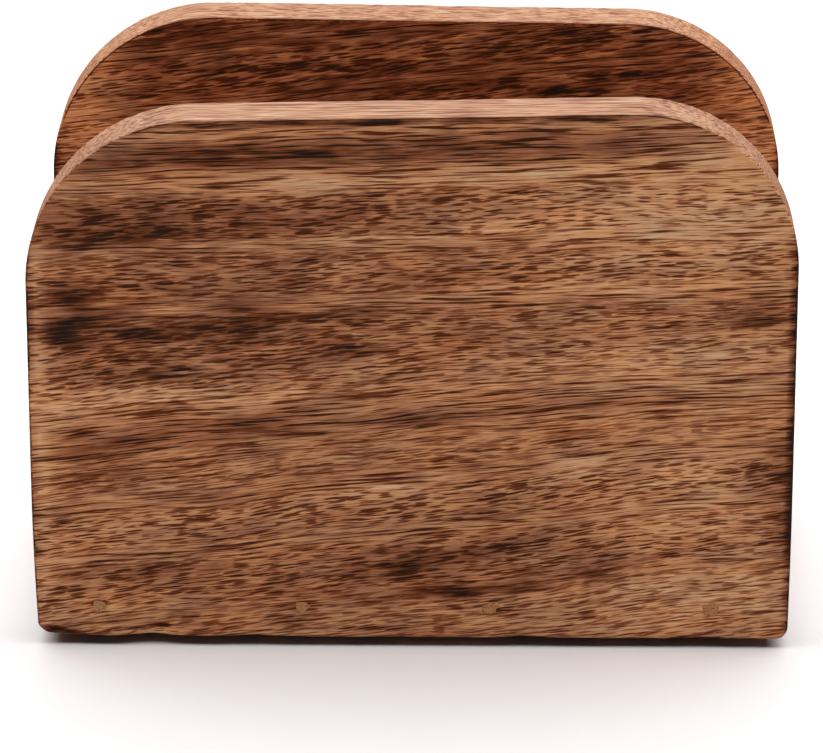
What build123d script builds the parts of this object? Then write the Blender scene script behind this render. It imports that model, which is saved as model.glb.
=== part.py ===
"""Upright napkin holder in torched hardwood.

Two rounded panels stand face to face against the long edges of a base board. Four brads go through
each panel into the base board, sunk below the surface and covered with wood putty, and four rubber feet
under the base board lift the panels off the table. Napkins stand in the slot between the panels.

Row frame, in millimetres: X runs along the panels, Y from the front panel to the rear one, +Z up.
The origin is the centre of the footprint, on the table.
"""

from build123d import *
from math import radians, tan
import os

# ---- driving dimensions ----------------------------------------------------------------------------
panel_width = 150.0
panel_heights = (108.1, 108.3)  # front and rear, at the middle of the top edge, from the panel's foot
panel_thickness = 12.0
overall_depth = 80.0  # outer face to outer face
foot_height = 2.0

# ---- hand-cut shape of the panels ------------------------------------------------------------------
# The top edges were cut by eye: seen from the front, one rises to the right and the other falls.
top_tilts = (1.1, -0.7)  # degrees, front and rear
front_shoulder_radii = (33.5, 31.5)  # left, right
rear_shoulder_radii = (33.5, 32.0)
heel_radius = 2.5  # lower corners
heel_taper = (0.8, 0.3)  # how far the sides are sanded in at the foot, left and right
taper_height = 34.0  # the sides are straight above this
arris_radius = 0.6  # every edge of a face is eased by sanding

# ---- base board ------------------------------------------------------------------------------------
base_length = 148.0  # its ends stop just inside the panels' sides
base_thickness = 12.0
slot_width = overall_depth - 2 * panel_thickness

# ---- brads and the putty over them -----------------------------------------------------------------
brad_places = (-62.0, -21.7, 15.7, 59.4)  # along X, nailed by eye
brad_height = 6.5  # above the panel's foot, near the middle of the base board's edge
brad_length = 25.0
brad_wire = (1.2, 1.0)  # flat wire, its wide side along the grain
brad_head = (2.0, 1.2, 0.8)  # along the grain, across it, thick
brad_point_length = 1.6  # chisel point
sinking = 1.4  # from the panel's face to the top of a sunk head
putty_shrinkage = 0.1  # how far the dried putty lies below the face

# ---- rubber feet -----------------------------------------------------------------------------------
foot_radius = 5.0
foot_chamfer = 0.5  # round the edge that meets the table
foot_spread_x = 60.0  # from the middle to a foot's centre
foot_spread_y = 19.0

outer_face = overall_depth / 2
inner_face = outer_face - panel_thickness


def panel_sketch(height, top_tilt, shoulder_radii):
    """Face of one panel in its own plane: X across, Y up from its foot."""
    half = panel_width / 2
    rise = half * tan(radians(top_tilt))
    left_foot = (-half + heel_taper[0], 0)
    right_foot = (half - heel_taper[1], 0)
    left_top = (-half, height - rise)
    right_top = (half, height + rise)
    with BuildSketch() as face:
        with BuildLine():
            Line(left_foot, right_foot)
            TangentArc((half, taper_height), right_foot, tangent=(0, -1))
            Polyline((half, taper_height), right_top, left_top, (-half, taper_height))
            TangentArc((-half, taper_height), left_foot, tangent=(0, -1))
        make_face()
        rounded_corners = (
            (left_top, shoulder_radii[0]),
            (right_top, shoulder_radii[1]),
            (left_foot, heel_radius),
            (right_foot, heel_radius),
        )
        for corner, radius in rounded_corners:
            fillet(face.vertices().sort_by_distance(corner)[0], radius)
    return face.sketch


def blank_panel(face, back_y):
    """One panel before nailing, cut from the board and eased. It fills back_y - thickness to back_y."""
    plane = Plane.XZ.offset(-back_y).shift_origin((0, back_y, foot_height))
    board = extrude(plane * face, panel_thickness)
    face_edges = board.faces().sort_by(Axis.Y)
    return fillet(face_edges[0].edges() + face_edges[-1].edges(), arris_radius)


def base_board():
    """Plain board between the panels. Its two short ends are eased, its long edges are square."""
    board = Pos(0, 0, foot_height + base_thickness / 2) * Box(base_length, slot_width, base_thickness)
    end_edges = board.edges().filter_by(Axis.Y)
    return fillet(end_edges, arris_radius)


def block(size_x, size_y, start, end):
    """Block centred on the Z axis, from one height to another."""
    return Pos(0, 0, (start + end) / 2) * Box(size_x, size_y, end - start)


def brad():
    """Flat-wire brad along +Z: the top of its head is at the origin and its point is at brad_length."""
    head_x, head_y, head_z = brad_head
    half_wire = brad_wire[0] / 2
    outline = Polyline(
        (-half_wire, head_z),
        (half_wire, head_z),
        (half_wire, brad_length - brad_point_length),
        (0, brad_length),
        (-half_wire, brad_length - brad_point_length),
        close=True,
    )
    shank = extrude(Plane.XZ * make_face(outline), brad_wire[1] / 2, both=True)
    return block(head_x, head_y, 0, head_z) + shank


def nail_axes(face_y, turn):
    """Where each brad enters a panel's outer face, with +Z turned to point into the wood."""
    height = foot_height + brad_height
    return [Pos(x, face_y, height) * Rot(turn, 0, 0) for x in brad_places]


def nailed_row(face_y, turn):
    """The brads and the putty plugs of one panel, and what they hollow out of the boards."""
    axes = nail_axes(face_y, turn)
    brads = [axis * Pos(0, 0, sinking) * brad() for axis in axes]
    plugs = [axis * block(brad_head[0], brad_head[1], putty_shrinkage, sinking) for axis in axes]
    mouths = [axis * block(brad_head[0], brad_head[1], 0, sinking) for axis in axes]
    return brads, plugs, brads + mouths


def rubber_foot():
    """Stick-on rubber foot: flat on the board, with a chamfered edge where it meets the table."""
    blank = Pos(0, 0, foot_height / 2) * Cylinder(foot_radius, foot_height)
    table_edge = blank.edges().sort_by(Axis.Z)[0]
    return chamfer(table_edge, foot_chamfer)


def write(name, solids):
    """Writes one named piece, or a group of identical ones, to parts/NAME.step."""
    shape = solids[0] if len(solids) == 1 else Compound(children=solids)
    shape.label = name
    export_step(shape, f"parts/{name}.step")


os.makedirs("parts", exist_ok=True)

front_brads, front_plugs, front_holes = nailed_row(-outer_face, -90)
rear_brads, rear_plugs, rear_holes = nailed_row(outer_face, 90)

front_face = panel_sketch(panel_heights[0], top_tilts[0], front_shoulder_radii)
rear_face = panel_sketch(panel_heights[1], top_tilts[1], rear_shoulder_radii)

front_panel = blank_panel(front_face, -inner_face) - front_holes
rear_panel = blank_panel(rear_face, outer_face) - rear_holes
nailed_base = base_board() - (front_brads + rear_brads)

write("front_panel", front_panel.solids())
write("rear_panel", rear_panel.solids())
write("base_board", nailed_base.solids())
write("front_brads", front_brads)
write("rear_brads", rear_brads)
write("front_putty_plugs", front_plugs)
write("rear_putty_plugs", rear_plugs)

for side_y, side_name in ((-1, "front"), (1, "rear")):
    for side_x, end_name in ((-1, "left"), (1, "right")):
        place = Pos(side_x * foot_spread_x, side_y * foot_spread_y, 0)
        write(f"foot_{side_name}_{end_name}", [place * rubber_foot()])
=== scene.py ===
"""Looks of the upright napkin holder in torched hardwood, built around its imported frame.

The sections follow the object as it is put together: base board, front panel, rear panel, brads, putty
and feet, and last the table top, the light and the camera that show it. Lengths are in metres, except in
the wood's pattern, which is in millimetres.
"""

import math

import bpy
import numpy as np
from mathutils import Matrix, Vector


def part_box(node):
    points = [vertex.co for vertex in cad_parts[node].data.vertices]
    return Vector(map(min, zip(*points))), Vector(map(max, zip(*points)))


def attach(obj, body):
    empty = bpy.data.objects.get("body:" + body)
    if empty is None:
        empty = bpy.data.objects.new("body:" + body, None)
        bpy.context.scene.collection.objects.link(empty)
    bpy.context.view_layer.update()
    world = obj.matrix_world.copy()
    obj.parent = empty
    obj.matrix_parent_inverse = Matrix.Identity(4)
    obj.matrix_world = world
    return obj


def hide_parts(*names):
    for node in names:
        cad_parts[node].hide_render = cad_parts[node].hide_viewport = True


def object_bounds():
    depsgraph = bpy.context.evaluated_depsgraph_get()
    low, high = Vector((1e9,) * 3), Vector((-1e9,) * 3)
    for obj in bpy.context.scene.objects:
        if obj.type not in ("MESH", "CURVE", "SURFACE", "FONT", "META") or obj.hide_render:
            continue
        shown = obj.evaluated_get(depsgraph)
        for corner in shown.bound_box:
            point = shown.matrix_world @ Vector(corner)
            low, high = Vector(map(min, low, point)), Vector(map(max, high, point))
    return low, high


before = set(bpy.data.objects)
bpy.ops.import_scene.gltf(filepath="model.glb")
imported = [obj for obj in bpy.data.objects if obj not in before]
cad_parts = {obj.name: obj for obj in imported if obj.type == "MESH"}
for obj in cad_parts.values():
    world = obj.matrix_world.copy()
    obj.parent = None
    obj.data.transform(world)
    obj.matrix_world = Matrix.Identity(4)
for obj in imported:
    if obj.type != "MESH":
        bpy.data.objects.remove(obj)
cad_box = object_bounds()
scene = bpy.context.scene
MM = 0.001

# ---- base board ------------------------------------------------------------------------------------
# Plain board of the same torched hardwood that the two panels are nailed to. Napkins stand on it. It was
# sawn square and its ends sanded, and the flame has darkened it all over.
BASE_CELLS = (120, 80)  # along the grain and across it
BASE_CORNER = 0.3 * MM  # its corners, seen from above
BASE_END_ARRIS = 0.6 * MM
BASE_LONG_ARRIS = 0.08 * MM
BASE_LOG_PLACE = (-95.0, 61.0, 23.0)  # mm, where in the log it was cut
BASE_CHAR, BASE_END_SANDING = 0.35, 0.5


def linear(hex_colour):
    """sRGB hex to the linear RGBA that shaders use."""
    parts = [int(hex_colour[i : i + 2], 16) / 255 for i in (1, 3, 5)]
    return tuple(c / 12.92 if c <= 0.04045 else ((c + 0.055) / 1.055) ** 2.4 for c in parts) + (1.0,)


def add(tree, kind, sockets=None, **settings):
    """Adds a node with its settings. Each socket gets a value, or a link from a node or from its output."""
    made = tree.nodes.new(kind)
    for name, value in settings.items():
        setattr(made, name, value)
    for name, value in (sockets or {}).items():
        if isinstance(value, bpy.types.Node):
            value = value.outputs[0]
        if isinstance(value, bpy.types.NodeSocket):
            tree.links.new(value, made.inputs[name])
        else:
            made.inputs[name].default_value = value
    return made


def sized(*lengths):
    """What a place in mm is multiplied by, so that the pattern repeats at about these lengths in mm."""
    return tuple(1 / length for length in lengths)


# How the log grew, from the panels' feet up: height in mm, how deeply the flame took there (0 to 1), and
# how much of the grain runs in long lines (1) rather than in short open pores (0).
GROWTH_BANDS = (
    (0, 0.30, 0.35),
    (9, 0.30, 0.35),
    (12, 0.60, 0.60),
    (15, 0.62, 0.15),
    (22, 0.58, 0.15),
    (25, 0.35, 0.90),
    (28, 0.50, 0.10),
    (33, 0.35, 0.10),
    (36, 0.50, 0.90),
    (40, 0.45, 0.35),
    (45, 0.45, 0.60),
    (49, 0.70, 0.95),
    (53, 0.40, 0.80),
    (58, 0.35, 0.30),
    (63, 0.55, 0.20),
    (69, 0.50, 0.20),
    (73, 0.40, 0.85),
    (77, 0.58, 0.15),
    (80, 0.45, 0.10),
    (83, 0.62, 0.40),
    (85, 0.40, 0.90),
    (88, 0.60, 0.12),
    (94, 0.62, 0.10),
    (97, 0.35, 0.80),
    (99, 0.35, 0.85),
    (102, 0.85, 0.90),
    (105.5, 0.85, 0.90),
    (107.5, 0.35, 0.85),
    (112, 0.30, 0.80),
)
BANDS_FROM, BANDS_TO = -12.0, 118.0  # mm
CLUSTER_LEAN, DASH_LEAN = math.radians(22), math.radians(3)  # against the grain, rising to the right
CALM_LEVELS, CLIMBS = (36.0, 76.0), (0.105, 0.036)  # heights in mm, and how steeply the grain climbs there
WANDER = 2.6  # mm
VECTOR = "ShaderNodeVectorMath"
MATH = "ShaderNodeMath"
RANGE = "ShaderNodeMapRange"
NOISE = "ShaderNodeTexNoise"
SPLIT = "ShaderNodeSeparateXYZ"


def growth(tree, place):
    """What changes slowly through the log, at a place in mm.

    Gives grain, which is the place counted along, into and across the grain, and from 0 to 1 torching,
    run, warmth, layers, clusters and patches.
    """
    x, y, z = add(tree, SPLIT, {0: place}).outputs

    # The grain rises to the right, more steeply low down, and wanders by a millimetre or so.
    levels = {"From Min": CALM_LEVELS[0], "From Max": CALM_LEVELS[1]}
    climbs = {"Value": z, "To Min": CLIMBS[0], "To Max": CLIMBS[1]}
    rise = add(tree, RANGE, levels | climbs, interpolation_type="SMOOTHSTEP")
    climb = add(tree, MATH, {0: rise, 1: x}, operation="MULTIPLY")
    level = add(tree, MATH, {0: z, 1: climb}, operation="SUBTRACT")
    wide = add(tree, VECTOR, {0: place, 1: sized(34, 14, 12)}, operation="MULTIPLY")
    wander = add(tree, NOISE, {"Vector": wide, "Scale": 1.0, "Detail": 1.5, "Roughness": 0.42})
    swing = add(tree, MATH, {0: wander, 1: 0.5}, operation="SUBTRACT")
    across = add(tree, MATH, {0: swing, 1: WANDER, 2: level}, operation="MULTIPLY_ADD")
    grain = add(tree, "ShaderNodeCombineXYZ", {"X": x, "Y": y, "Z": across})

    # Growth bands. Beyond the log's edge they come back in the reverse order.
    band = add(tree, RANGE, {"Value": across, "From Min": BANDS_FROM, "From Max": BANDS_TO}, clamp=False)
    folded = add(tree, MATH, {0: band, 1: 1.0}, operation="PINGPONG")
    bands = add(tree, "ShaderNodeValToRGB", {0: folded})
    ramp = bands.color_ramp
    ramp.interpolation = "EASE"
    ramp.elements.remove(ramp.elements[1])
    for index, (height, torching, run) in enumerate(GROWTH_BANDS):
        position = (height - BANDS_FROM) / (BANDS_TO - BANDS_FROM)
        stop = ramp.elements.new(position) if index else ramp.elements[0]
        stop.position = position
        stop.color = (torching, run, 0.0, 1.0)
    torching, run, _ = add(tree, SPLIT, {0: bands}).outputs

    # Layers of one season's wood, a few millimetres apart, and the tree's slower change of colour.
    layer_place = add(tree, VECTOR, {0: grain, 1: sized(9, 8, 2.4)}, operation="MULTIPLY")
    layers = add(tree, NOISE, {"Vector": layer_place, "Scale": 1.0, "Detail": 2.0, "Roughness": 0.6})
    warm_place = add(tree, VECTOR, {0: grain, 1: sized(15, 12, 4.5)}, operation="MULTIPLY")
    warmth = add(tree, NOISE, {"Vector": warm_place, "Scale": 1.0, "Detail": 1.0, "Roughness": 0.5})

    # Interlocked grain gathers the pores in slanting clusters, and the flame bites deeper in patches.
    slanted = add(
        tree, "ShaderNodeVectorRotate", {"Vector": grain, "Angle": CLUSTER_LEAN}, rotation_type="Y_AXIS"
    )
    cluster_place = add(tree, VECTOR, {0: slanted, 1: sized(8, 4, 2.6)}, operation="MULTIPLY")
    cluster_look = {"Vector": cluster_place, "Scale": 1.0, "Detail": 1.0, "Roughness": 0.5}
    cluster_noise = add(tree, NOISE, cluster_look)
    clusters = add(tree, RANGE, {"Value": cluster_noise, "From Min": 0.40, "From Max": 0.62})
    patch_place = add(tree, VECTOR, {0: grain, 1: sized(11, 6, 4.5)}, operation="MULTIPLY")
    patch_noise = add(tree, NOISE, {"Vector": patch_place, "Scale": 1.0, "Detail": 2.0, "Roughness": 0.6})
    patches = add(tree, RANGE, {"Value": patch_noise, "From Min": 0.46, "From Max": 0.72})

    return {
        "grain": grain.outputs[0],
        "torching": torching,
        "run": run,
        "warmth": warmth.outputs[0],
        "layers": layers.outputs[0],
        "clusters": clusters.outputs[0],
        "patches": patches.outputs[0],
    }


def vessels(tree, grain, run, clusters):
    """The fine figure at a place along the grain, in mm, given how far it runs in lines and clusters.

    Gives pores, from 0 to 1: where a vessel dips in and out of the cut it opens as a dash 2 to 6 mm long
    and 0.3 to 0.6 mm wide, and where it stays in the cut's own plane it draws a line. Also gives fibres,
    from 0 to 1, the fine light and dark threads between them.
    """
    leaning = add(
        tree, "ShaderNodeVectorRotate", {"Vector": grain, "Angle": DASH_LEAN}, rotation_type="Y_AXIS"
    )
    dash_place = add(tree, VECTOR, {0: leaning, 1: sized(5.0, 0.7, 0.48)}, operation="MULTIPLY")
    dash_cells = add(tree, "ShaderNodeTexVoronoi", {"Vector": dash_place, "Scale": 1.0})
    dash_edge = add(tree, MATH, {0: clusters, 1: 0.20, 2: 0.36}, operation="MULTIPLY_ADD")
    dash_heart = add(tree, MATH, {0: dash_edge, 1: 0.16}, operation="SUBTRACT")
    dashes = add(
        tree,
        RANGE,
        {"Value": dash_cells, "From Min": dash_edge, "From Max": dash_heart},
        interpolation_type="SMOOTHSTEP",
    )
    fine_place = add(tree, VECTOR, {0: grain, 1: sized(3.6, 0.5, 0.40)}, operation="MULTIPLY")
    fine_noise = add(tree, NOISE, {"Vector": fine_place, "Scale": 1.0, "Detail": 0.0})
    fine_dashes = add(
        tree, RANGE, {"Value": fine_noise, "From Min": 0.55, "From Max": 0.68, "To Max": 0.8}
    )
    short = add(tree, MATH, {0: dashes, 1: fine_dashes}, operation="MAXIMUM")
    line_place = add(tree, VECTOR, {0: grain, 1: sized(14, 0.7, 0.46)}, operation="MULTIPLY")
    line_noise = add(tree, NOISE, {"Vector": line_place, "Scale": 1.0, "Detail": 2.0, "Roughness": 0.62})
    lines = add(tree, RANGE, {"Value": line_noise, "From Min": 0.505, "From Max": 0.60})
    pores = add(tree, "ShaderNodeMix", {"Factor": run, "A": short.outputs[0], "B": lines.outputs[0]})
    fibre_place = add(tree, VECTOR, {0: grain, 1: sized(9, 0.4, 0.32)}, operation="MULTIPLY")
    fibres = add(tree, NOISE, {"Vector": fibre_place, "Scale": 1.0, "Detail": 1.0, "Roughness": 0.6})
    return pores.outputs[0], fibres.outputs[0]


# Colour of the wood from char, through the flame's browns, to bare sanded wood.
WOOD_TONES = (
    (0.06, "#1c0f09"),
    (0.12, "#351807"),
    (0.195, "#5a2a0e"),
    (0.29, "#764023"),
    (0.41, "#996040"),
    (0.48, "#ad7450"),
    (0.545, "#c2885c"),
    (0.66, "#d39d70"),
    (0.80, "#e2b88c"),
)


PORE_SHADE = -0.78  # how much darker a pore is than its wood, as a share
SANDED_PORE_GAIN = 0.43  # how much of that sanding takes away
FIBRE_RANGE = (0.75, 1.25)
SANDED_CAST = (0.75, 0.92, 1.26, 1.0)  # bare sanded wood has lost the flame's orange


def torched_hardwood(name, cool=(0.87, 1.01, 1.22, 1.0), warm=(1.13, 0.985, 0.82, 1.0)):
    """Open-pored hardwood, scorched with a torch, brushed and sanded: matt, dark in its pores.

    cool and warm are the casts between which its colour wanders.
    """
    material = bpy.data.materials.new(name)
    material.use_nodes = True
    tree = material.node_tree
    shader = tree.nodes["Principled BSDF"]
    grain = add(tree, "ShaderNodeAttribute", attribute_name="grain").outputs["Vector"]
    grown = add(tree, "ShaderNodeAttribute", attribute_name="grown").outputs["Vector"]
    warmth = add(tree, "ShaderNodeAttribute", attribute_name="warmth").outputs["Fac"]
    tone, run, clusters = add(tree, SPLIT, {0: grown}).outputs
    pores, fibres = vessels(tree, grain, run, clusters)

    # Pores and fibres darken in proportion to the wood that they are in.
    sanded = add(tree, "ShaderNodeAttribute", attribute_name="sanded").outputs["Fac"]
    pore_shade = add(
        tree, MATH, {0: sanded, 1: SANDED_PORE_GAIN, 2: PORE_SHADE}, operation="MULTIPLY_ADD"
    )
    pored = add(tree, MATH, {0: pores, 1: pore_shade, 2: 1.0}, operation="MULTIPLY_ADD")
    fibre_levels = {"Value": fibres, "From Min": 0.2, "From Max": 0.8}
    fibre_shades = {"To Min": FIBRE_RANGE[0], "To Max": FIBRE_RANGE[1]}
    fibred = add(tree, RANGE, fibre_levels | fibre_shades)
    shade = add(tree, MATH, {0: tone, 1: pored}, operation="MULTIPLY")
    final = add(tree, MATH, {0: shade, 1: fibred}, operation="MULTIPLY")
    colour = add(tree, "ShaderNodeValToRGB", {0: final})
    ramp = colour.color_ramp
    ramp.elements.remove(ramp.elements[1])
    for index, (position, shade_hex) in enumerate(WOOD_TONES):
        stop = ramp.elements.new(position) if index else ramp.elements[0]
        stop.position = position
        stop.color = linear(shade_hex)

    # The wood is more orange in places and greyer in others.
    tint = add(tree, "ShaderNodeMix", {0: warmth}, data_type="RGBA")
    tint.inputs[6].default_value = cool
    tint.inputs[7].default_value = warm
    cast_left = add(tree, MATH, {0: sanded, 1: -0.8, 2: 1.0}, operation="MULTIPLY_ADD")
    tinted = add(tree, "ShaderNodeMix", {0: cast_left}, data_type="RGBA", blend_type="MULTIPLY")
    tree.links.new(colour.outputs[0], tinted.inputs[6])
    tree.links.new(tint.outputs[2], tinted.inputs[7])

    paled = add(tree, "ShaderNodeMix", {0: sanded}, data_type="RGBA", blend_type="MULTIPLY")
    tree.links.new(tinted.outputs[2], paled.inputs[6])
    paled.inputs[7].default_value = SANDED_CAST
    tree.links.new(paled.outputs[2], shader.inputs["Base Color"])

    shader.inputs["Roughness"].default_value = 0.72
    shader.inputs["IOR"].default_value = 1.45
    shader.inputs["Specular IOR Level"].default_value = 0.12
    bump = add(tree, "ShaderNodeBump", {"Strength": 0.5, "Distance": 0.1 * MM, "Height": fibres})
    tree.links.new(bump.outputs[0], shader.inputs["Normal"])
    return material


def side_points(side, half_width, height, tilt, shoulder, heel, taper, taper_height, rows):
    """Evenly spaced points up one side of a board, from the start of its heel to the end of its shoulder.

    side is -1 for the left and 1 for the right. Heights count from the board's foot.
    """
    foot = half_width - taper
    turn = np.linspace(-math.pi / 2, 0, 30)
    heel_x, heel_z = foot - heel + heel * np.cos(turn), heel + heel * np.sin(turn)
    flank_z = np.linspace(heel, taper_height, 30)[1:]
    flank_x = half_width - taper * (1 - flank_z / taper_height) ** 2
    heel_x = heel_x + (flank_x[0] - heel_x[-1]) * (heel_z / heel)
    centre_x = half_width - shoulder
    centre_z = height + side * math.tan(tilt) * centre_x - shoulder / math.cos(tilt)
    sweep = np.linspace(0, math.pi / 2 + side * tilt, 160)
    shoulder_x, shoulder_z = centre_x + shoulder * np.cos(sweep), centre_z + shoulder * np.sin(sweep)
    xs, zs = np.concatenate((heel_x, flank_x, shoulder_x)), np.concatenate((heel_z, flank_z, shoulder_z))
    run = np.concatenate(([0.0], np.cumsum(np.hypot(np.diff(xs), np.diff(zs)))))
    even = np.linspace(0, run[-1], rows + 1)
    return np.stack((side * np.interp(even, run, xs), np.interp(even, run, zs)), axis=1)


def board_mesh(name, left, right, columns, thickness, arris, paint, stand, depth_rings=8, arris_rings=4):
    """A closed board: two faces of rows that follow the grain, and rings round its edge between them.

    left and right are the points up its sides. arris gives the radius of its eased edges at an outward
    normal. paint gives, for points across, up and deep and for their outward normals (0 on the faces), how
    much char and painted shade they get and how far they are sanded back. stand turns the points into
    places.
    """
    rows = len(left) - 1
    share = np.linspace(0, 1, columns + 1)[:, None]
    across, up = np.arange(columns + 1), np.arange(1, rows)
    loop_row = np.concatenate((across * 0, up, across * 0 + rows, up[::-1]))
    loop_column = np.concatenate((across, up * 0 + columns, across[::-1], up * 0))
    face = left[:, None] * (1 - share) + right[:, None] * share
    edge = face[loop_row, loop_column]
    tangent = np.roll(edge, -1, axis=0) - np.roll(edge, 1, axis=0)
    normal = np.stack((tangent[:, 1], -tangent[:, 0]), axis=1)
    normal /= np.linalg.norm(normal, axis=1, keepdims=True)
    radius = arris(normal)
    face[loop_row, loop_column] = edge - normal * radius[:, None]
    face[1:-1] = face[1:-1, :1] * (1 - share) + face[1:-1, -1:] * share

    grid = face.reshape(-1, 2)
    count, around = len(grid), len(edge)
    places = [np.insert(grid, 2, deep, axis=1) for deep in (0, thickness)]
    normals = [np.zeros((2 * count, 2))]
    turns = np.linspace(0, math.pi / 2, arris_rings + 1)[1:]
    rings = [(1 - math.sin(t), radius * (1 - math.cos(t))) for t in turns]
    rings += [(0, radius + (thickness - 2 * radius) * s) for s in np.linspace(0, 1, depth_rings + 2)[1:-1]]
    rings += [(1 - math.sin(t), thickness - radius * (1 - math.cos(t))) for t in turns[::-1]]
    for inward, deep in rings:
        places.append(np.column_stack((edge - normal * radius[:, None] * inward, deep)))
        normals.append(normal * (1 - inward))
    places, normals = np.concatenate(places), np.concatenate(normals)

    near = np.arange(count).reshape(rows + 1, columns + 1)
    ring_points = 2 * count + np.arange(len(rings) * around).reshape(len(rings), around)
    wall = np.vstack((near[loop_row, loop_column], ring_points, near[loop_row, loop_column] + count))
    faces = []
    for index in (near, (near + count)[:, ::-1], np.column_stack((wall, wall[:, 0]))[:, ::-1]):
        corners = (index[:-1, :-1], index[:-1, 1:], index[1:, 1:], index[1:, :-1])
        faces.append(np.stack(corners, axis=-1).reshape(-1, 4))

    mesh = bpy.data.meshes.new(name)
    mesh.from_pydata(stand(*places.T).tolist(), [], np.concatenate(faces).tolist())
    mesh.shade_smooth()
    for label, amounts in zip(("charred", "sanded"), paint(*places.T, *normals.T)):
        mesh.attributes.new(label, "FLOAT", "POINT").data.foreach_set("value", amounts.astype(np.float32))
    piece = bpy.data.objects.new(name, mesh)
    scene.collection.objects.link(piece)
    return piece


# The wood of every board. It works out the log's slow changes at each point, keeps them for the material,
# and cuts the relief: pores and lines are hollow, and softer layers are worn down.
wood = bpy.data.node_groups.new("torched wood", "GeometryNodeTree")
WOOD_INPUTS = (
    ("Geometry", "NodeSocketGeometry"),
    ("Log place", "NodeSocketVector"),
    ("Pore depth", "NodeSocketFloat"),
    ("Wear depth", "NodeSocketFloat"),
    ("Material", "NodeSocketMaterial"),
)
wood_ids = {
    label: wood.interface.new_socket(label, in_out="INPUT", socket_type=kind).identifier
    for label, kind in WOOD_INPUTS
}
wood.interface.new_socket("Geometry", in_out="OUTPUT", socket_type="NodeSocketGeometry")
given = add(wood, "NodeGroupInput").outputs
here = add(wood, VECTOR, {0: add(wood, "GeometryNodeInputPosition"), "Scale": 1 / MM}, operation="SCALE")
place = add(wood, VECTOR, {0: here, 1: given["Log place"]}, operation="ADD")
grown = growth(wood, place)
charred = add(wood, "GeometryNodeInputNamedAttribute", {"Name": "charred"}, data_type="FLOAT")
sanded = add(wood, "GeometryNodeInputNamedAttribute", {"Name": "sanded"}, data_type="FLOAT")

# Tone of the wood between its pores, from 0, black, to 1, white.
TORCHED, BARE = 0.665, 0.537
TONE_BY_BAND, TONE_BY_PATCH, TONE_BY_CHAR_AND_SHADE = -0.24, -0.08, -0.34
TONE_BY_LAYER, BARE_TONE_BY_LAYER = 0.28, 0.22
DARKEST, LIGHTEST = 0.14, 0.69
tone = add(wood, MATH, {0: grown["torching"], 1: TONE_BY_BAND, 2: TORCHED}, operation="MULTIPLY_ADD")
patch = add(wood, MATH, {0: grown["patches"], 1: TONE_BY_PATCH, 2: tone}, operation="MULTIPLY_ADD")
layer = add(wood, MATH, {0: grown["layers"], 1: 0.5}, operation="SUBTRACT")
layered = add(wood, MATH, {0: layer, 1: TONE_BY_LAYER, 2: patch}, operation="MULTIPLY_ADD")
bite_place = add(wood, VECTOR, {0: grown["grain"], 1: sized(9, 3, 1.3)}, operation="MULTIPLY")
bite_noise = add(wood, NOISE, {"Vector": bite_place, "Scale": 1.0, "Detail": 2.0, "Roughness": 0.6})
bite_streaks = {"Value": bite_noise, "From Min": 0.35, "From Max": 0.65, "To Min": 0.35, "To Max": 1.65}
bitten = add(wood, RANGE, bite_streaks)
# The char attribute also carries painted shade on the rear panel's inner face; both darken the tone here.
char_and_shade_here = add(wood, MATH, {0: charred, 1: bitten}, operation="MULTIPLY")
burnt_and_shaded = add(wood, MATH, {0: char_and_shade_here, 1: TONE_BY_CHAR_AND_SHADE, 2: layered}, operation="MULTIPLY_ADD")
bare = add(wood, MATH, {0: layer, 1: BARE_TONE_BY_LAYER, 2: BARE}, operation="MULTIPLY_ADD")
finished_tone = add(wood, "ShaderNodeMix", {"Factor": sanded, "A": burnt_and_shaded, "B": bare})
safe_tone = add(wood, "ShaderNodeClamp", {"Value": finished_tone, "Min": DARKEST, "Max": LIGHTEST})

# Where the wood is charred its pores are burnt open, and sanding leaves only the lines of them.
# On the rear panel's inner face the painted shade opens the pores as char does.
opened = add(wood, MATH, {0: char_and_shade_here, 1: 0.7, 2: grown["clusters"]}, operation="MULTIPLY_ADD")
closed = add(wood, MATH, {0: sanded, 1: -1.2, 2: opened}, operation="MULTIPLY_ADD")
run = add(wood, RANGE, {"Value": grown["run"], "To Min": 0.12})
lined = add(wood, MATH, {0: run, 1: sanded}, operation="MAXIMUM")
kept = add(wood, "ShaderNodeCombineXYZ", {0: safe_tone, 1: lined, 2: closed})

# Char is grey beside the orange of wood that the flame has only browned.
browned = add(wood, MATH, {0: grown["patches"], 1: -0.30, 2: grown["warmth"]}, operation="MULTIPLY_ADD")
# On the rear panel's inner face the painted shade greys the colour as char does.
scorched = add(wood, MATH, {0: char_and_shade_here, 1: 0.0}, operation="MAXIMUM")
greyed = add(wood, MATH, {0: scorched, 1: -0.35, 2: browned}, operation="MULTIPLY_ADD")
warmth = add(wood, MATH, {0: greyed, 1: 0.06}, operation="ADD")

body = given["Geometry"]
for label, kind, value in (
    ("grain", "FLOAT_VECTOR", grown["grain"]),
    ("grown", "FLOAT_VECTOR", kept),
    ("warmth", "FLOAT", warmth),
):
    kept_value = {"Geometry": body, "Name": label, "Value": value}
    body = add(wood, "GeometryNodeStoreNamedAttribute", kept_value, data_type=kind)
pores, _ = vessels(wood, grown["grain"], lined, closed)
pore_cut = add(wood, MATH, {0: pores, 1: given["Pore depth"]}, operation="MULTIPLY")
cut = add(wood, MATH, {0: grown["clusters"], 1: given["Wear depth"], 2: pore_cut}, operation="MULTIPLY_ADD")
normal = add(wood, "GeometryNodeInputNormal")
end_grain = add(wood, MATH, {0: add(wood, SPLIT, {0: normal})}, operation="ABSOLUTE")
flat_grain = add(wood, RANGE, {"Value": end_grain, "To Min": -1.0, "To Max": 0.0})
inward = add(wood, MATH, {0: cut, 1: flat_grain}, operation="MULTIPLY")
offset = add(wood, VECTOR, {0: normal, "Scale": inward}, operation="SCALE")
carved = add(wood, "GeometryNodeSetPosition", {"Geometry": body, "Offset": offset})
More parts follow.
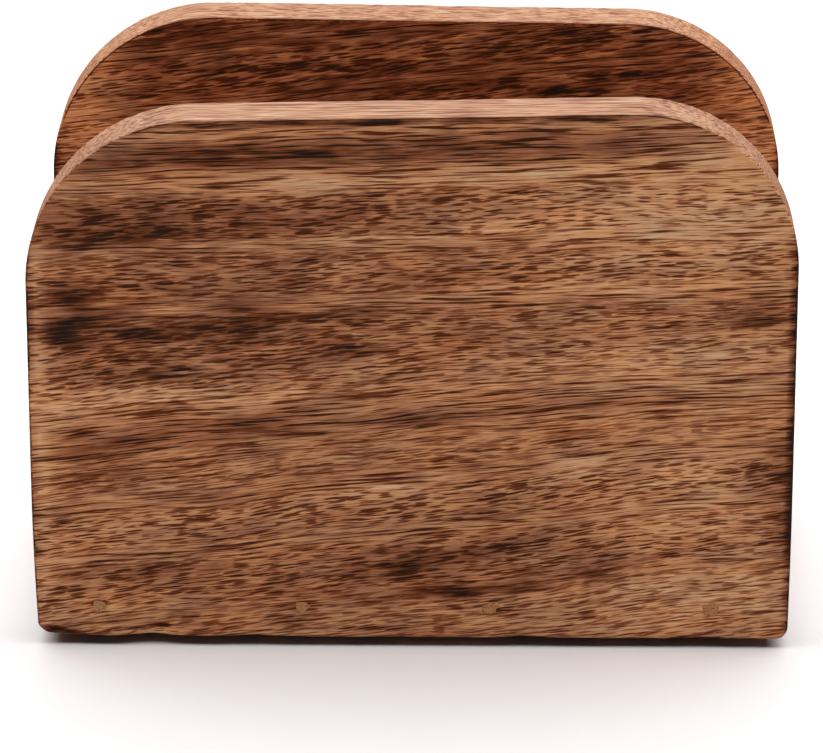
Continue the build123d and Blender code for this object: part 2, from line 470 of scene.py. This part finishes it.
real = add(wood, "GeometryNodeRealizeInstances", {0: carved})
finished = add(wood, "GeometryNodeSetMaterial", {"Geometry": real, "Material": given["Material"]})
add(wood, "NodeGroupOutput", {0: finished})


def bake_down(piece):
    """Turns a piece and its modifiers into a plain mesh."""
    shape = piece.evaluated_get(bpy.context.evaluated_depsgraph_get())
    piece.data = bpy.data.meshes.new_from_object(shape)
    piece.modifiers.clear()


PORE_DEPTH, WEAR_DEPTH = 0.09 * MM, 0.06 * MM


def season(piece, log_place, material):
    """Makes a board of wood from its own place in the log."""
    modifier = piece.modifiers.new("torched wood", "NODES")
    modifier.node_group = wood
    values = {
        "Log place": log_place,
        "Pore depth": PORE_DEPTH,
        "Wear depth": WEAR_DEPTH,
        "Material": material,
    }
    for label, value in values.items():
        modifier[wood_ids[label]] = value
    bake_down(piece)


def base_arris(normal):
    """Eased at its two short ends, and almost sharp along its long edges."""
    return np.where(np.abs(normal[:, 0]) > 0.7, BASE_END_ARRIS, BASE_LONG_ARRIS)


def base_paint(across, up, deep, normal_across, normal_up):
    """Darkened all over, and sanded at its two short ends."""
    return across * 0 + BASE_CHAR, np.abs(normal_across) * BASE_END_SANDING


base_low, base_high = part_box("base_board")
base_depth = base_high.y - base_low.y
base_corners = (BASE_CORNER, BASE_CORNER, 0, base_depth / 2, BASE_CELLS[1])
base_sides = [side_points(side, base_high.x, base_depth, 0, *base_corners) for side in (-1, 1)]
base_board = board_mesh(
    "base_board_torched",
    *base_sides,
    BASE_CELLS[0],
    base_high.z - base_low.z,
    base_arris,
    base_paint,
    lambda across, up, deep: np.column_stack((across, base_low.y + up, base_high.z - deep)),
)
season(base_board, BASE_LOG_PLACE, torched_hardwood("torched hardwood, base board"))
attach(base_board, "root")
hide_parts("base_board")

# ---- front panel -----------------------------------------------------------------------------------
# Board with hand-cut rounded shoulders, glued and nailed to the base board. Its top edge rises a little
# to the right. It was torched on all sides, and then its top edge was sanded back to the bare wood.
PANEL_CELLS = (112, 330)
HEEL = 2.5 * MM
TAPERS = (0.8 * MM, 0.3 * MM)  # left, right
TAPER_HEIGHT = 34.0 * MM
FRONT_HEIGHT, FRONT_TILT = 108.1 * MM, math.radians(1.1)
FRONT_SHOULDERS = (33.5 * MM, 31.5 * MM)
FRONT_LOG_PLACE = (0.0, 0.0, 0.0)
PANEL_ARRIS = 0.55 * MM
SIDE_LINE_WIDTH = 0.8 * MM
SIDE_LINE_TOP, SIDE_LINE_FADE = 88.0, 6.0  # mm above the table
SIDE_LINE_LEFT, SIDE_LINE_RIGHT = 0.8, 1.3
SIDE_CHAR, ARRIS_CHAR = 0.65, 1.5
NEAR_DEPTH = 2 * MM  # the flame marks end this far behind the near face
FRONT_LINE_FROM = 0.90  # the dark arris line is on the top edge alone

# Where the flame stayed longer (more than 0) or less long (below 0) on the front, in mm: from the middle,
# above the table, half length, half height, strength.
FRONT_FLAME = (
    (-30, 102.3, 30, 2.6, 0.45),
    (-37, 102.0, 10, 1.8, 0.25),
    (-14, 102.0, 8, 1.6, 0.25),
    (24, 103.6, 24, 2.0, 0.35),
    (-58, 88.0, 16, 4.5, 0.35),
    (-25, 89.5, 24, 3.0, 0.25),
    (-62, 84.6, 8, 1.2, 0.45),
    (-66, 67.0, 10, 3.0, 0.75),
    (-45, 66.8, 20, 2.2, 0.40),
    (-22, 69.0, 18, 1.6, 0.35),
    (-66, 73.0, 8, 2.5, 0.45),
    (-34, 71.5, 6, 1.6, 0.25),
    (-12, 62.6, 7, 1.2, 0.50),
    (-50, 57.0, 12, 2.0, 0.35),
    (-40, 63.0, 26, 3.0, 0.25),
    (3, 77.3, 5, 1.5, 0.40),
    (12, 65.5, 6, 1.8, 0.25),
    (66, 68.8, 12, 1.5, 0.65),
    (68, 71.5, 8, 1.5, 0.30),
    (67, 57.2, 5, 1.0, 0.55),
    (-31, 46.6, 9, 2.6, 0.50),
    (-50, 45.0, 10, 2.0, 0.35),
    (8, 48.6, 10, 1.4, 0.45),
    (34, 51.5, 12, 1.0, 0.40),
    (-63, 41.0, 6, 2.5, 0.55),
    (-62, 36.0, 9, 1.5, 0.30),
    (14, 28.6, 4, 1.8, 0.45),
    (14, 20.6, 8, 1.6, 0.50),
    (-3, 17.0, 8, 2.8, 0.70),
    (6, 11.6, 11, 1.5, 0.75),
    (24, 13.2, 5, 1.0, 0.50),
    (-52, 16.5, 9, 1.5, 0.35),
    (38, 16.0, 4.5, 2.6, 0.60),
    (76, 38.0, 5, 7.0, 1.00),
    (75, 26.0, 3, 6.0, 0.50),
    (56, 88.0, 18, 1.2, -0.90),
    (50, 90.0, 25, 8.0, -0.45),
    (40, 76.3, 22, 1.3, -0.80),
    (45, 60.0, 30, 8.0, -0.25),
    (20, 88.3, 9, 1.0, -0.60),
    (-23, 96.2, 13, 1.2, -0.60),
    (38, 99.5, 22, 1.5, -0.50),
    (-8, 85.6, 12, 0.9, -0.50),
    (-60, 52.3, 18, 2.6, -0.50),
    (-40, 53.0, 6, 1.8, -0.35),
    (-27, 53.0, 7, 1.8, -0.35),
    (-6, 33.5, 9, 1.6, -0.50),
    (36, 39.0, 8, 2.5, -0.35),
    (54, 38.0, 7, 4.0, -0.30),
    (-74, 50.0, 3, 60.0, -0.60),
    (-60, 8.0, 18, 3.0, -0.35),
    (55, 9.0, 20, 4.0, -0.55),
    (55, 25.0, 18, 14.0, -0.30),
    (62, 104.0, 12, 6.0, -0.40),
    (60, 92.0, 34, 10.0, -0.36),
    (72, 60.0, 26, 14.0, -0.10),
    (-55, 87.0, 34, 9.0, 0.10),
    (-50, 72.0, 60, 8.0, 0.18),
    (-50, 56.0, 32, 7.0, 0.15),
    (-5, 99.0, 30, 4.0, -0.15),
    # the broken dark line just under the top edge
    (-40, 108.5, 8, 0.6, 1.35),
    (-24, 108.8, 8, 0.6, 1.10),
    (-6, 109.1, 9, 0.6, 1.40),
    (15, 109.5, 9, 0.5, 0.90),
    (36, 109.9, 7, 0.5, 0.90),
)


def grain_rise(height):
    """How steeply the grain climbs to the right at a height in mm."""
    return np.interp(height, CALM_LEVELS, CLIMBS)


panel_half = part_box("front_panel")[1].x
panel_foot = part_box("front_panel")[0].z / MM


def panel_sides(height, tilt, shoulders):
    """The points up a panel's left side and up its right side."""
    rows = PANEL_CELLS[1]
    return [
        side_points(side, panel_half, height, tilt, shoulder, HEEL, taper, TAPER_HEIGHT, rows)
        for side, shoulder, taper in zip((-1, 1), shoulders, TAPERS)
    ]


def panel_arris(normal):
    """The same all round."""
    return np.full(len(normal), PANEL_ARRIS)


def side_line(across, height):
    """The dark line that the flame left along a panel's sides, below its shoulders. height is in mm."""
    inset = (panel_half - np.abs(across)) / SIDE_LINE_WIDTH
    return np.exp(-(inset**2)) * np.clip((SIDE_LINE_TOP - height) / SIDE_LINE_FADE, 0, 1)


def edge_paint(deep, normal_across, normal_up, line_from):
    """The sides keep their char, and the top edge and the shoulders are sanded back.

    A dark line is left on the near arris where the edge faces up by more than line_from, from 0 to 1.
    """
    on_edge = np.hypot(normal_across, normal_up)
    upward = np.clip((normal_up - 0.10) / 0.55, 0, 1) * np.clip(on_edge * 1.6 - 0.5, 0, 1)
    upward *= 0.75 + 0.25 * np.clip((normal_up - 0.75) / 0.2, 0, 1)
    charred = SIDE_CHAR * np.clip(1 - (normal_up + 0.05) / 0.55, 0, 1) * on_edge
    on_arris = (on_edge > 0.2) & (on_edge < 0.6) & (deep < NEAR_DEPTH)
    faces_up = normal_up / np.maximum(on_edge, 0.1)
    arris_line = on_arris * np.clip((faces_up - line_from) / 0.08, 0, 1)
    return charred + ARRIS_CHAR * arris_line, upward * (1 - arris_line)


def front_paint(across, up, deep, normal_across, normal_up):
    """The edges, the flame's marks on the outer face, and the dark lines along its sides."""
    charred, sanded = edge_paint(deep, normal_across, normal_up, FRONT_LINE_FROM)
    x, height = across / MM, up / MM + panel_foot
    near = np.clip(1 - deep / NEAR_DEPTH, 0, 1)
    for middle, level, half_length, half_height, strength in FRONT_FLAME:
        along = (x - middle) / half_length
        off = (height - level - grain_rise(level) * (x - middle)) / half_height
        charred = charred + near * strength * np.exp(-(along**2) - off**2)
    side_char = np.where(across > 0, SIDE_LINE_RIGHT, SIDE_LINE_LEFT)
    return charred + near * side_line(across, height) * side_char, sanded


# Places where the front panel's face is hollowed, in mm: from the middle, above the table, half length,
# half height, how far back and how far up the surface is pushed, how charred it is there.
FRONT_HOLLOWS = (
    (-75.0, 2.0, 7.5, 3.0, 0.3, 0.6, 0.1),  # worn lower corner
    (-71.0, 3.2, 2.2, 0.6, 0.3, 0.2, 1.5),
    (-67.5, 2.6, 1.8, 0.5, 0.2, 0.1, 1.0),
    (-51.5, 2.2, 4.0, 1.6, 1.2, 0.2, -0.9),  # torn out splinter, its edge dark
    (-49.8, 4.3, 1.6, 0.45, 0.3, 0.0, 1.8),
    (-54.5, 3.6, 2.5, 0.35, 0.2, 0.0, 1.2),
    (-31.0, 2.0, 5.0, 0.8, 0.2, 0.2, 0.4),
    (22.0, 2.0, 3.0, 0.8, 0.2, 0.3, 0.4),
    (57.0, 2.0, 4.0, 0.8, 0.2, 0.2, 0.4),
)
BRAD_PLACES, BRAD_HEIGHT = (-62.0, -21.7, 15.7, 59.4), 8.5  # mm
NAIL_HOLLOWS = tuple((x, BRAD_HEIGHT, 1.9, 1.6, 0.24, 0.0, 0.0) for x in BRAD_PLACES)


def hollow_out(piece, hollows, face_y, inward):
    """Pushes a face's points back and up in every hollow, and chars them. inward is 1 or -1 along Y."""
    mesh = piece.data
    places = np.empty(len(mesh.vertices) * 3)
    mesh.vertices.foreach_get("co", places)
    places = places.reshape(-1, 3)
    charred = np.empty(len(mesh.vertices), np.float32)
    mesh.attributes["charred"].data.foreach_get("value", charred)
    x, _, z = (places / MM).T
    deep = np.clip((places[:, 1] - face_y) / MM * inward, 0, None)
    for middle, height, half_length, half_height, back, up, char in hollows:
        along, off = (x - middle) / half_length, np.hypot(z - height, deep) / half_height
        share = np.exp(-(along**2) - off**2)
        places[:, 1] += share * back * MM * inward
        places[:, 2] += share * up * MM
        charred += share * char
    mesh.vertices.foreach_set("co", places.ravel())
    mesh.attributes["charred"].data.foreach_set("value", charred)


def panel(name, node, sides, paint, log_place, hollows, outer_y, inward, *casts):
    """One dressed panel in the place of its CAD node. inward is 1 or -1, from outer_y into the wood."""
    low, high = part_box(node)
    piece = board_mesh(
        name,
        *sides,
        PANEL_CELLS[0],
        high.y - low.y,
        panel_arris,
        paint,
        lambda across, up, deep: np.column_stack((across, low.y + deep, low.z + up)),
    )
    hollow_out(piece, hollows, outer_y, inward)
    season(piece, log_place, torched_hardwood("torched hardwood, " + node.replace("_", " "), *casts))
    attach(piece, "root")
    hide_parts(node)


panel(
    "front_panel_torched",
    "front_panel",
    panel_sides(FRONT_HEIGHT, FRONT_TILT, FRONT_SHOULDERS),
    front_paint,
    FRONT_LOG_PLACE,
    FRONT_HOLLOWS + NAIL_HOLLOWS,
    cad_box[0].y,
    1,
)

# ---- rear panel ------------------------------------------------------------------------------------
# The front panel's twin from another part of the log, cut by eye too: its top edge falls a little to the
# right. Its inner face, which faces the front panel, is painted darker: painted shade between the panels.
REAR_HEIGHT, REAR_TILT = 108.3 * MM, math.radians(-0.7)
REAR_SHOULDERS = (33.5 * MM, 32.0 * MM)
REAR_LOG_PLACE = (60.0, 58.0, -66.0)
REAR_CASTS = ((1.02, 0.96, 0.96, 1.0), (1.26, 0.93, 0.66, 1.0))  # redder than the front panel
# The first is painted shade on the inner face, between the panels; the second is the flame's line along the
# sides.
REAR_INNER_SHADE, REAR_SIDE_LINE = 0.48, 1.2
REAR_LINE_FROM = 0.30  # the dark arris line goes round the shoulders too
# Towards the inner face's ends the painted shade gives way to paler wood.
PALER_FROM, PALER_FADE = 54.0, 14.0  # mm from the middle
PALER_LEFT, PALER_RIGHT = 0.70, 0.64


def rear_paint(across, up, deep, normal_across, normal_up):
    """The edges, and the inner face, darkened with painted shade between the panels and paler towards its
    ends.
    """
    charred, sanded = edge_paint(deep, normal_across, normal_up, REAR_LINE_FROM)
    inside = np.clip(1 - deep / NEAR_DEPTH, 0, 1)
    ends = np.clip((np.abs(across) / MM - PALER_FROM) / PALER_FADE, 0, 1)
    line = REAR_SIDE_LINE * side_line(across, up / MM + panel_foot)
    paler = ends * np.where(across < 0, PALER_LEFT, PALER_RIGHT)
    # On the inner face: painted shade, less of it towards the ends, and the flame's dark side line.
    return charred + inside * (REAR_INNER_SHADE - paler + line), sanded


panel(
    "rear_panel_torched",
    "rear_panel",
    panel_sides(REAR_HEIGHT, REAR_TILT, REAR_SHOULDERS),
    rear_paint,
    REAR_LOG_PLACE,
    NAIL_HOLLOWS,
    cad_box[1].y,
    -1,
    *REAR_CASTS,
)

# ---- brads -----------------------------------------------------------------------------------------
# Galvanised brads of flat steel wire, driven with a nail gun through each panel into the base board's
# edge. They are sunk in the wood, so that only the putty over them shows.
brad_steel = bpy.data.materials.new("galvanised drawn steel wire")
brad_steel.use_nodes = True
steel = brad_steel.node_tree
steel_shader = steel.nodes["Principled BSDF"]
steel_shader.inputs["Metallic"].default_value = 1.0
steel_place = add(steel, "ShaderNodeTexCoord").outputs["Object"]
draw_scale = (1 / (0.1 * MM), 1 / (4 * MM), 1 / (0.1 * MM))
drawn = add(steel, VECTOR, {0: steel_place, 1: draw_scale}, operation="MULTIPLY")
draw_marks = add(steel, NOISE, {"Vector": drawn, "Scale": 1.0, "Detail": 2.0, "Roughness": 0.6})
zinc = add(steel, "ShaderNodeMix", {0: draw_marks}, data_type="RGBA")
zinc.inputs[6].default_value = linear("#8d9094")
zinc.inputs[7].default_value = linear("#b9bcc0")
steel.links.new(zinc.outputs[2], steel_shader.inputs["Base Color"])
dull = add(steel, RANGE, {"Value": draw_marks, "To Min": 0.3, "To Max": 0.5})
steel.links.new(dull.outputs[0], steel_shader.inputs["Roughness"])
for node in ("front_brads", "rear_brads"):
    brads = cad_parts[node].data
    brads.materials.clear()
    brads.materials.append(brad_steel)

# ---- putty over the brads --------------------------------------------------------------------------
# Wood putty, pressed into each nail hole with a fingertip, wiped along the grain and sanded flush: a matt
# tan spot with dust and dark specks in it, a little wider than the hole that it fills.
PUTTY_HALF_SIZE = (1.45 * MM, 1.25 * MM)  # along the grain and across it
PUTTY_DEPTH = 1.3 * MM
PUTTY_SINK = 0.02 * MM  # below the flat face, so that nothing stands proud
PUTTY_SEED = 7

putty_filler = bpy.data.materials.new("matt wood putty, sanded")
putty_filler.use_nodes = True
filler = putty_filler.node_tree
filler_shader = filler.nodes["Principled BSDF"]
filler_place = add(filler, "ShaderNodeTexCoord").outputs["Object"]
grit_place = add(filler, VECTOR, {0: filler_place, "Scale": 1 / (0.35 * MM)}, operation="SCALE")
grit = add(filler, NOISE, {"Vector": grit_place, "Scale": 1.0, "Detail": 2.0, "Roughness": 0.7})
filler_colour = add(filler, "ShaderNodeValToRGB", {0: grit})
filler_colour.color_ramp.elements.new(0.45)
for stop, (position, colour) in zip(
    filler_colour.color_ramp.elements, ((0.30, "#5e3a22"), (0.42, "#a37048"), (0.68, "#bd8a60"))
):
    stop.position = position
    stop.color = linear(colour)
filler.links.new(filler_colour.outputs[0], filler_shader.inputs["Base Color"])
filler_shader.inputs["Roughness"].default_value = 0.85
filler_shader.inputs["Specular IOR Level"].default_value = 0.2
filler_bump = add(filler, "ShaderNodeBump", {"Strength": 0.4, "Distance": 0.05 * MM, "Height": grit})
filler.links.new(filler_bump.outputs[0], filler_shader.inputs["Normal"])


def putty_spot():
    """One spot of putty facing -Y, with its middle at the origin: ragged outline, dished, tapering back."""
    around, rings = 40, 7
    angles = np.linspace(0, 2 * math.pi, around, endpoint=False)
    ragged = 1 + 0.10 * np.sin(3 * angles + 0.6) + 0.08 * np.sin(5 * angles + 2.1)
    ragged += 0.05 * np.sin(9 * angles)
    places, faces = [(0.0, 0.03 * MM, 0.0)], []
    profile = [(share, 0.03 * MM * (1 - share**2)) for share in np.linspace(0, 1, rings + 1)[1:]]
    profile += [(1.0, 0.14 * MM), (0.7, 0.5 * MM), (0.55, PUTTY_DEPTH)]
    for share, deep in profile:
        across = PUTTY_HALF_SIZE[0] * share * ragged * np.cos(angles)
        up = PUTTY_HALF_SIZE[1] * share * ragged * np.sin(angles)
        places += [(x, deep, z) for x, z in zip(across, up)]
    last = 1 + (len(profile) - 1) * around
    for i in range(around):
        j = (i + 1) % around
        faces.append((0, 1 + i, 1 + j))
        for ring in range(len(profile) - 1):
            start = 1 + ring * around
            faces.append((start + i, start + around + i, start + around + j, start + j))
    faces.append(tuple(last + i for i in range(around))[::-1])
    mesh = bpy.data.meshes.new("putty_spot")
    mesh.from_pydata(places, [], faces)
    mesh.shade_smooth()
    return mesh


# One spot on each nail hole, each turned and sized a little differently.
spots = bpy.data.node_groups.new("putty spots", "GeometryNodeTree")
SPOT_INPUTS = (
    ("Holes", "NodeSocketGeometry"),
    ("Spot", "NodeSocketObject"),
    ("Facing", "NodeSocketFloat"),
    ("Seed", "NodeSocketInt"),
    ("Material", "NodeSocketMaterial"),
)
spot_ids = {
    label: spots.interface.new_socket(label, in_out="INPUT", socket_type=kind).identifier
    for label, kind in SPOT_INPUTS
}
spots.interface.new_socket("Geometry", in_out="OUTPUT", socket_type="NodeSocketGeometry")
spot_given = add(spots, "NodeGroupInput").outputs
spot_shape = add(spots, "GeometryNodeObjectInfo", {"Object": spot_given["Spot"]}).outputs["Geometry"]
tilts = {2: -0.5, 3: 0.5, "Seed": spot_given["Seed"]}
tilt = add(spots, "FunctionNodeRandomValue", tilts, data_type="FLOAT")
turned = add(spots, "ShaderNodeCombineXYZ", {0: 0.0, 1: tilt.outputs[1], 2: spot_given["Facing"]})
size = add(
    spots,
    "FunctionNodeRandomValue",
    {0: (0.80, 1.0, 0.85), 1: (1.15, 1.0, 1.15), "Seed": spot_given["Seed"]},
    data_type="FLOAT_VECTOR",
)
placed = add(
    spots,
    "GeometryNodeInstanceOnPoints",
    {
        "Points": spot_given["Holes"],
        "Instance": spot_shape,
        "Rotation": turned,
        "Scale": size.outputs[0],
    },
)
spot_real = add(spots, "GeometryNodeRealizeInstances", {0: placed})
spot_done = add(
    spots, "GeometryNodeSetMaterial", {"Geometry": spot_real, "Material": spot_given["Material"]}
)
add(spots, "NodeGroupOutput", {0: spot_done})

spot = bpy.data.objects.new("putty_spot", putty_spot())
for name, node, facing in (
    ("front_putty_wiped", "front_putty_plugs", 0.0),
    ("rear_putty_wiped", "rear_putty_plugs", math.pi),
):
    face_y = cad_box[0].y + PUTTY_SINK if facing == 0.0 else cad_box[1].y - PUTTY_SINK
    holes = bpy.data.meshes.new(name)
    holes.from_pydata([(x * MM, face_y, BRAD_HEIGHT * MM) for x in BRAD_PLACES], [], [])
    putty = bpy.data.objects.new(name, holes)
    scene.collection.objects.link(putty)
    modifier = putty.modifiers.new("putty spots", "NODES")
    modifier.node_group = spots
    values = {"Spot": spot, "Facing": facing, "Seed": PUTTY_SEED, "Material": putty_filler}
    for label, value in values.items():
        modifier[spot_ids[label]] = value
    bake_down(putty)
    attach(putty, "root")
    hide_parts(node)
bpy.data.objects.remove(spot)

# ---- rubber feet -----------------------------------------------------------------------------------
# Stick-on discs of black rubber under the base board, moulded with a rounded lower edge and stuck on with
# a thin film of clear adhesive. The panels hang 2 mm clear of the table between them.
ADHESIVE = 0.12 * MM
FOOT_EDGE = 0.7 * MM

foot_rubber = bpy.data.materials.new("moulded black rubber")
foot_rubber.use_nodes = True
rubber = foot_rubber.node_tree
rubber_shader = rubber.nodes["Principled BSDF"]
rubber_place = add(rubber, "ShaderNodeTexCoord").outputs["Object"]
skin_place = add(rubber, VECTOR, {0: rubber_place, "Scale": 1 / (0.4 * MM)}, operation="SCALE")
skin = add(rubber, NOISE, {"Vector": skin_place, "Scale": 1.0, "Detail": 3.0, "Roughness": 0.6})
dusty = add(rubber, "ShaderNodeMix", {0: skin}, data_type="RGBA")
dusty.inputs[6].default_value = linear("#1b1a1a")
dusty.inputs[7].default_value = linear("#353332")
rubber.links.new(dusty.outputs[2], rubber_shader.inputs["Base Color"])
rubber_shader.inputs["Roughness"].default_value = 0.65
rubber_bump = add(rubber, "ShaderNodeBump", {"Strength": 0.3, "Distance": 0.04 * MM, "Height": skin})
rubber.links.new(rubber_bump.outputs[0], rubber_shader.inputs["Normal"])


def turned_foot(name, low, high):
    """A disc turned about its own axis: flat below, rounded edge, straight side, adhesive on top."""
    around = 64
    radius, height = (high.x - low.x) / 2, high.z - low.z
    profile = [(radius * share, 0.0) for share in (0.35, 0.7)]
    for turn in np.linspace(-math.pi / 2, 0, 9):
        profile.append((radius - FOOT_EDGE * (1 - math.cos(turn)), FOOT_EDGE * (1 + math.sin(turn))))
    profile += [(radius, height - ADHESIVE - 0.1 * MM), (radius - 0.1 * MM, height - ADHESIVE)]
    profile += [(radius - 0.25 * MM, height - ADHESIVE), (radius - 0.25 * MM, height)]
    angles = np.linspace(0, 2 * math.pi, around, endpoint=False)
    centre = ((low.x + high.x) / 2, (low.y + high.y) / 2)
    places = [(*centre, low.z), (*centre, high.z)]
    faces = []
    top = 2 + (len(profile) - 1) * around
    for out, up in profile:
        xs, ys = centre[0] + out * np.cos(angles), centre[1] + out * np.sin(angles)
        places += [(x, y, low.z + up) for x, y in zip(xs, ys)]
    for i in range(around):
        j = (i + 1) % around
        faces.append((0, 2 + j, 2 + i))
        faces.append((1, top + i, top + j))
        for ring in range(len(profile) - 1):
            start = 2 + ring * around
            faces.append((start + i, start + j, start + around + j, start + around + i))
    mesh = bpy.data.meshes.new(name)
    mesh.from_pydata(places, [], faces)
    mesh.shade_smooth()
    foot = bpy.data.objects.new(name, mesh)
    scene.collection.objects.link(foot)
    return foot


for side in ("front", "rear"):
    for end in ("left", "right"):
        node = f"foot_{side}_{end}"
        foot = turned_foot(node + "_moulded", *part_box(node))
        foot.data.materials.append(foot_rubber)
        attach(foot, "root")
        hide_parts(node)

# ---- table top, light and camera -------------------------------------------------------------------
# Plain white table top and background under one large soft light from above. The camera has the place and
# the angle that were fitted to the photograph's outlines.
CAMERA_DISTANCE = 1.0007
CAMERA_ELEVATION = math.radians(19.829)
CAMERA_AZIMUTH = math.radians(0.75)  # to the right of the object's middle
CAMERA_AIM = Vector((-0.52 * MM, 0.0, 42.9 * MM))
FOCAL_PIXELS, PICTURE_WIDTH = 4909.4, 823
SENSOR_WIDTH = 36.0
TABLE_REACH = 3.0
SKY_SEEN, SKY_LIGHT = 1.0, 0.04  # the background's strength, as seen and as it lights the object
SOFTBOX_PLACE = Vector((0.0, 0.12, 0.6))
SOFTBOX_SIZE, SOFTBOX_WATTS = (1.6, 1.0), 14.0

floor_mesh = bpy.data.meshes.new("table_top")
floor_corners = [(x * TABLE_REACH, y * TABLE_REACH, 0) for x, y in ((-1, -1), (1, -1), (1, 1), (-1, 1))]
floor_mesh.from_pydata(floor_corners, [], [(0, 1, 2, 3)])
floor = bpy.data.objects.new("table_top", floor_mesh)
scene.collection.objects.link(floor)
floor_paint = bpy.data.materials.new("white table top")
floor_paint.use_nodes = True
floor_shader = floor_paint.node_tree.nodes["Principled BSDF"]
floor_shader.inputs["Base Color"].default_value = linear("#f0eded")
floor_shader.inputs["Roughness"].default_value = 0.5
floor_mesh.materials.append(floor_paint)

world = bpy.data.worlds.new("studio")
scene.world = world
world.use_nodes = True
sky = world.node_tree
rays = add(sky, "ShaderNodeLightPath").outputs
seen = add(sky, MATH, {0: rays["Is Camera Ray"], 1: rays["Is Glossy Ray"]}, operation="MAXIMUM")
seen = add(sky, MATH, {0: seen, 1: rays["Is Transmission Ray"]}, operation="MAXIMUM")
level = add(sky, RANGE, {"Value": seen, "To Min": SKY_LIGHT, "To Max": SKY_SEEN})
sky.links.new(level.outputs[0], sky.nodes["Background"].inputs["Strength"])
sky.nodes["Background"].inputs["Color"].default_value = (1, 1, 1, 1)

softbox = bpy.data.lights.new("overhead softbox", "AREA")
softbox.shape, softbox.energy = "RECTANGLE", SOFTBOX_WATTS
softbox.size, softbox.size_y = SOFTBOX_SIZE
lamp = bpy.data.objects.new("overhead softbox", softbox)
lamp.location = SOFTBOX_PLACE
lamp.rotation_euler = Vector((0, 0, -1)).to_track_quat("-Z", "Y").to_euler()
scene.collection.objects.link(lamp)

towards = Vector(
    (
        math.sin(CAMERA_AZIMUTH) * math.cos(CAMERA_ELEVATION),
        -math.cos(CAMERA_AZIMUTH) * math.cos(CAMERA_ELEVATION),
        math.sin(CAMERA_ELEVATION),
    )
)
camera_data = bpy.data.cameras.new("camera")
camera_data.sensor_width = SENSOR_WIDTH
camera_data.lens = FOCAL_PIXELS * SENSOR_WIDTH / PICTURE_WIDTH
camera = bpy.data.objects.new("camera", camera_data)
camera.location = CAMERA_AIM + towards * CAMERA_DISTANCE
camera.rotation_euler = (-towards).to_track_quat("-Z", "Y").to_euler()
scene.collection.objects.link(camera)
scene.camera = camera
scene.view_settings.view_transform = "Standard"
